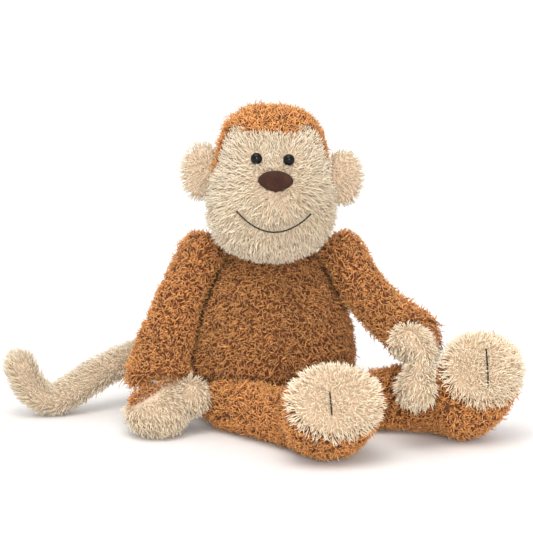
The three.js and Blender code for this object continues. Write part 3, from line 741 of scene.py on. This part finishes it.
face_tree, cap_tree = node_tree("face_panel"), node_tree("head_cap")
for name, skin in skins.items():
    if name == "head":
        finish_skin(skin, [CREAM_BACKING, GINGER_BACKING], face_tree, cap_tree)
    elif name.endswith("_leg"):
        side = name.removesuffix("_leg")
        leg_tree, sole_tree = node_tree(side + "_leg_skin"), node_tree(side + "_sole")
        finish_skin(skin, [GINGER_BACKING, CREAM_BACKING], leg_tree, sole_tree)
    else:
        finish_skin(skin, [GINGER_BACKING if skin["finish"] == "ginger_pile" else CREAM_BACKING])

# ---------------------------------------------------------------- eyes, nose and threads

EYE_RADIUS = 4.2 * MM
EYE_FLATNESS = 0.78
EYE_SINKS = 1.2 * MM
NOSE_VOXEL = 0.9 * MM
NOSE_COMES_OUT = 1.6 * MM
THREAD_COMES_OUT = 2.4 * MM
THREAD_THINNED = 0.2 * MM
TOE_THREAD_SLANTS = (0.0, 0.185)


def finished(piece, look, body, node):
    """Gives a shaped piece its look, and lets it stand for its CAD node."""
    shade_smooth(piece)
    piece.data.materials.append(look)
    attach(piece, body)
    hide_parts(node)


def copied(name, node):
    piece = linked(name, NODES[node].data.copy())
    piece.data.materials.clear()
    return piece


def make_thread(name, node, body, slant=0.0):
    """A sewn thread, brought out of the pile, and slanted to the left side with its height."""
    thread = modified(copied(name, node), "DISPLACE", strength=-THREAD_THINNED, mid_level=0.0)
    points = coords(thread)
    middle = (points.min(0) + points.max(0)) / 2
    moved = points - [0, THREAD_COMES_OUT, 0]
    moved[:, 0] += slant * (points[:, 2] - middle[2])
    put_coords(thread, moved)
    finished(thread, BLACK_THREAD, body, node)


def make_nose():
    """A plump pad, a little wider at the top and coming to a soft point below."""
    nose = modified(copied("nose_pad", "nose_patch"), "REMESH", mode="VOXEL", voxel_size=NOSE_VOXEL)
    modified(nose, "SMOOTH", factor=0.5, iterations=6)
    modified(nose, "SUBSURF", levels=1, render_levels=1)
    points = coords(nose)
    middle = (points.min(0) + points.max(0)) / 2
    half = (points.max(0) - points.min(0)) / 2
    away = (points - middle) / half
    narrow = 1.0 - 0.28 * np.clip(-away[:, 2], 0, 1) ** 1.5
    drop = -0.12 * (1 - np.abs(away[:, 0])) * (away[:, 2] < 0)
    grown = np.stack([away[:, 0] * narrow * 1.06, away[:, 1] * 1.1, away[:, 2] + drop], 1)
    put_coords(nose, middle + grown * half - [0, NOSE_COMES_OUT, 0])
    finished(nose, SUEDE, "head", "nose_patch")


def make_eye(side):
    """A turned dome of glossy plastic, as wide as the CAD eye, on the same axis."""
    low, high = (Vector(corner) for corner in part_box(side + "_eye"))
    made = bmesh.new()
    bmesh.ops.create_uvsphere(made, u_segments=40, v_segments=24, radius=EYE_RADIUS)
    dome = linked(side + "_eye_dome", bpy.data.meshes.new(side + "_eye_dome"))
    made.to_mesh(dome.data)
    made.free()
    place = np.array([(low.x + high.x) / 2, low.y + EYE_SINKS, (low.z + high.z) / 2])
    put_coords(dome, coords(dome) * [1, EYE_FLATNESS, 1] + place)
    finished(dome, EYE_BLACK, "head", side + "_eye")


make_nose()
make_thread("mouth_stitch", "mouth_thread", "head")
for side in SIDES:
    make_eye(side)
    for node_slot in NODES[side + "_eye_washer"].material_slots:
        node_slot.material = WASHER_WHITE
for node_slot in NODES["neck_seam"].material_slots:
    node_slot.material = TAN_THREAD

# ---------------------------------------------------------------- growing the pile

EDGE = 0.012  # most changes of the pile from one region to the next take this length
GROUND_GAP = 2.6 * MM  # no strand has its root nearer to the floor
SHOULDERS, FOREHEAD, BROWS, CHIN = 0.108, 0.18, 0.185, 0.145  # heights
CREASE_REACH, CREASE_SEARCH = 11.5 * MM, 0.016  # a neighbour shortens the pile within its reach
SHORTEST_IN_CREASE, SHORTEST_AT_SHOULDER = 0.15, 0.85
PEAK_HALF_WIDTH = 0.014  # of the crown's curls that reach down over the forehead
PEAK_DROP, CREAM_RISE = 3.0, 8.0  # how far they reach down, and the cream beside them up, in millimetres
HEAD_HALF_WIDTH = 0.035
FACE_SEARCH = 0.03
FEATURE_REACH, CROWN_REACH = 20 * MM, 14 * MM  # the face's pile is shorter this near to them
FLARE_SIDE, FLARE_TOP, FLARE_HEIGHT = -0.086, 0.056, 0.016  # of the right cuff
RIM_REACH, RIM_OVERHANG, RIM_TOP_OVERHANG = 20 * MM, 1.5, 7.5
SOLE_RADIUS = 26 * MM
TAIL_BEND, TAIL_BEND_WIDTH = -0.16, 0.03


def rising(values, start, over=EDGE):
    """0 up to the start, and evenly to 1 over a length beyond it."""
    return np.clip((values - start) / over, 0, 1)


def falling(values, start, over=EDGE):
    """0 down to the start, and evenly to 1 over a length below it."""
    return np.clip((start - values) / over, 0, 1)


def steady(direction):
    return lambda points: np.tile(np.array(direction, float), (len(points), 1))


def away_from(place, reach=0.0):
    """Flow away from a place, at full strength beyond a reach in millimetres."""

    def flow(points):
        gaps = points - np.array(tuple(place))
        if not reach:
            return unit(gaps)
        share = np.linalg.norm(gaps, axis=1, keepdims=True) / (reach * MM)
        return unit(gaps) * np.clip(share, 0.15, 1) ** 2

    return flow


def parted(flow, places, reach):
    """The same flow, but turned away from the places near them."""

    def turned(points):
        heading = flow(points)
        for place in places:
            gap = points - np.array(tuple(place))
            far = np.linalg.norm(gap, axis=1, keepdims=True)
            heading = heading + unit(gap) * 2.5 * np.exp(-((far / (reach * MM)) ** 2))
        return heading

    return turned


def ground_clear(points):
    return points[:, 2] > GROUND_GAP


def nearer(first, second, margin):
    """Points whose way to the first, less a margin in millimetres for each point, is the shorter one."""

    def test(points):
        return distances(points, first) <= distances(points, second) + margin(points) * MM

    return test


def beyond(test):
    return lambda points: ~test(points)


def both(*tests):
    def test(points):
        good = np.ones(len(points), bool)
        for one in tests:
            good[good] = one(points[good])
        return good

    return test


def pressed_by(*names):
    """The pile is short where a neighbour lies against it below the shoulders, which leaves a crease: dark
    from its own shadow, and from the painted shade that curly() gives short curls.
    """
    trees = [tree_of(skins[name].data) for name in names]

    def lengths(points):
        gap = np.min([distances(points, tree, CREASE_SEARCH) for tree in trees], axis=0)
        free = np.clip(gap / CREASE_REACH, SHORTEST_IN_CREASE, 1.0)
        return np.maximum(free, SHORTEST_AT_SHOULDER * rising(points[:, 2], SHOULDERS))

    return lengths


def clear_of(tree, gap):
    """Points further than a gap in millimetres from the tree's surface."""
    return lambda points: distances(points, tree, gap * 3 * MM) > gap * MM


make_camera()
make_studio()
make_floor()

EYES = [box_centre(side + "_eye") for side in SIDES]
NOSE = box_centre("nose_patch")
MUZZLE = NOSE + Vector((0, 18, -6)) * MM
face_things = node_tree("nose_patch", "right_eye", "left_eye")
mouth_tree = node_tree("mouth_thread")


def cap_margin(points):
    """The crown's curls reach down over the middle of the forehead, and the cream reaches up beside them."""
    beside = rising(np.abs(points[:, 0]), PEAK_HALF_WIDTH)
    return rising(points[:, 2], FOREHEAD) * (PEAK_DROP - CREAM_RISE * beside)


def crown_lengths(points):
    """The crown's fur is fuller on the right side of the head."""
    return 1.02 - 0.24 * np.clip(points[:, 0] / HEAD_HALF_WIDTH, -1, 1)


face_here = beyond(nearer(cap_tree, face_tree, cap_margin))
# The ginger piles' tones set their brightness: the torso's is low and the crown's high, as painted shade and
# painted light of light falling from above.
curly(
    "torso_pile", torso, "torso", seed=11, flow=steady((0, 0, -1)), keep=ground_clear, tone=0.38,
    lengths_at=pressed_by("right_arm", "left_arm", "right_leg", "left_leg"),
)
curly(
    "crown_pile", head, "head", seed=12, flow=away_from(MUZZLE), keep=beyond(face_here), tone=0.74,
    lengths_at=crown_lengths,
)


def face_lengths(points):
    """Short round the eyes, nose and mouth, under the crown and at the chin, and full on the cheeks."""
    to_things, to_mouth, to_crown = (
        distances(points, tree, FACE_SEARCH) for tree in (face_things, mouth_tree, cap_tree)
    )
    open_face = np.clip(0.5 + np.minimum(to_things, to_mouth) / FEATURE_REACH, 0.5, 1.0)
    under_crown = rising(points[:, 2], BROWS) * 0.55 * (1 - rising(to_crown, 0, CROWN_REACH))
    return open_face * (1 - under_crown) * (1 - 0.45 * falling(points[:, 2], CHIN))


# The face's low tone darkens all its cream: partly its own colour, and partly painted shade for the shade
# under the chin.
fluffy(
    "face_pile", head, "head", seed=13, flow=parted(away_from(MUZZLE), EYES, reach=7), spacing=1.55,
    keep=both(face_here, clear_of(face_things, 1.2), clear_of(mouth_tree, 1.0)),
    length=11.5, lean=1.0, lengths_at=face_lengths, tone=0.14,
)

# A cuff hangs over the outer side of each wrist: above a line across the hand the pile is ginger. The line
# runs through two points, each with its x and z in millimetres.
CUFFS = {"right": ((-107, 20.5), (-59.6, 45.3)), "left": ((106, 86.0), (122, 66.0))}


def cuff(side, drop=0.0):
    """Points over the cuff's line, lowered by a drop in millimetres."""
    (x1, z1), (x2, z2) = CUFFS[side]

    def above(points):
        return points[:, 2] > (z1 - drop + (points[:, 0] / MM - x1) * (z2 - z1) / (x2 - x1)) * MM

    return above


def sleeve_lengths(points):
    """The sleeve's fur lies flat beside the torso, and flares at the outer side of the right cuff."""
    flare = falling(points[:, 0], FLARE_SIDE) * falling(points[:, 2], FLARE_TOP, FLARE_HEIGHT)
    return pressed_by("torso")(points) * (1 + 0.7 * flare)


def rim_margin(sole):
    """Cream overhangs the rim of a sole all round, and most at its top."""
    return lambda points: RIM_OVERHANG + rising(points[:, 2], sole.z, RIM_REACH) * RIM_TOP_OVERHANG


def rim_lengths(sole):
    """A sole's tufts grow longer towards its rim."""

    def lengths(points):
        far = np.linalg.norm(points - np.array(tuple(sole)), axis=1)
        return np.clip(0.8 + 0.25 * (far / SOLE_RADIUS) ** 2, 0.8, 1.05)

    return lengths


# The tones below set each pile's brightness: the ginger arms' and legs' are high, painted light where they
# face the light from above, and the left leg's is higher still; the cream hands' and soles' are high and the
# ears' low, partly their own colour and partly painted light and shade.
for number, side in enumerate(SIDES):
    arm, hand, leg = (skins[side + part] for part in ("_arm", "_hand", "_leg"))
    shoulder, wrist, hip = (PIVOTS[side + joint] for joint in ("_shoulder", "_wrist", "_hip"))
    curly(
        side + "_arm_pile", arm, side + "_arm", seed=20 + number, flow=steady(wrist - shoulder),
        keep=ground_clear, lengths_at=sleeve_lengths, tone=0.62,
    )
    down_the_hand = unit(np.array([box_centre(side + "_hand_skin") - wrist]))[0]
    curly(
        side + "_cuff_pile", hand, side + "_hand", seed=25 + number, flow=steady(down_the_hand),
        keep=cuff(side),
    )
    fluffy(
        side + "_hand_pile", hand, side + "_hand", seed=30 + number, flow=steady(down_the_hand),
        keep=both(ground_clear, beyond(cuff(side, drop=2.0))), length=9.5, tone=0.85,
    )
    leg_tree, sole_tree = node_tree(side + "_leg_skin"), node_tree(side + "_sole")
    sole = box_centre(side + "_sole")
    sole_here = nearer(sole_tree, leg_tree, rim_margin(sole))
    curly(
        side + "_leg_pile", leg, side + "_leg", seed=40 + number, flow=steady(sole - hip),
        keep=both(ground_clear, beyond(sole_here)), tone=0.74 + 0.1 * number,
    )
    fluffy(
        side + "_sole_pile", leg, side + "_leg", seed=50 + number, flow=away_from(sole, reach=32),
        keep=both(sole_here, clear_of(node_tree(side + "_toe_thread"), 0.7)), spacing=1.5,
        length=8, lean=0.35, tone=0.95, lengths_at=rim_lengths(sole),
    )
    fluffy(
        side + "_ear_pile", skins[side + "_ear"], side + "_ear", seed=60 + number,
        flow=away_from(PIVOTS[side + "_ear_fold"]), length=6.5 - number, tone=0.12,
    )


def tail_flow(points):
    """Along the tail, and up where its tip turns up."""
    rise = falling(points[:, 0], TAIL_BEND, TAIL_BEND_WIDTH)
    return np.stack([np.full(len(points), -1.0), 0 * rise, 1.5 * rise], 1)


# The tail's low tone darkens it: partly its own colour and partly painted shade.
fluffy(
    "tail_pile", skins["tail"], "tail", seed=70, flow=tail_flow, keep=ground_clear, length=8.5, tone=0.3,
)
for side, slant in zip(SIDES, TOE_THREAD_SLANTS):
    make_thread(side + "_toe_stitch", side + "_toe_thread", side + "_leg", slant)
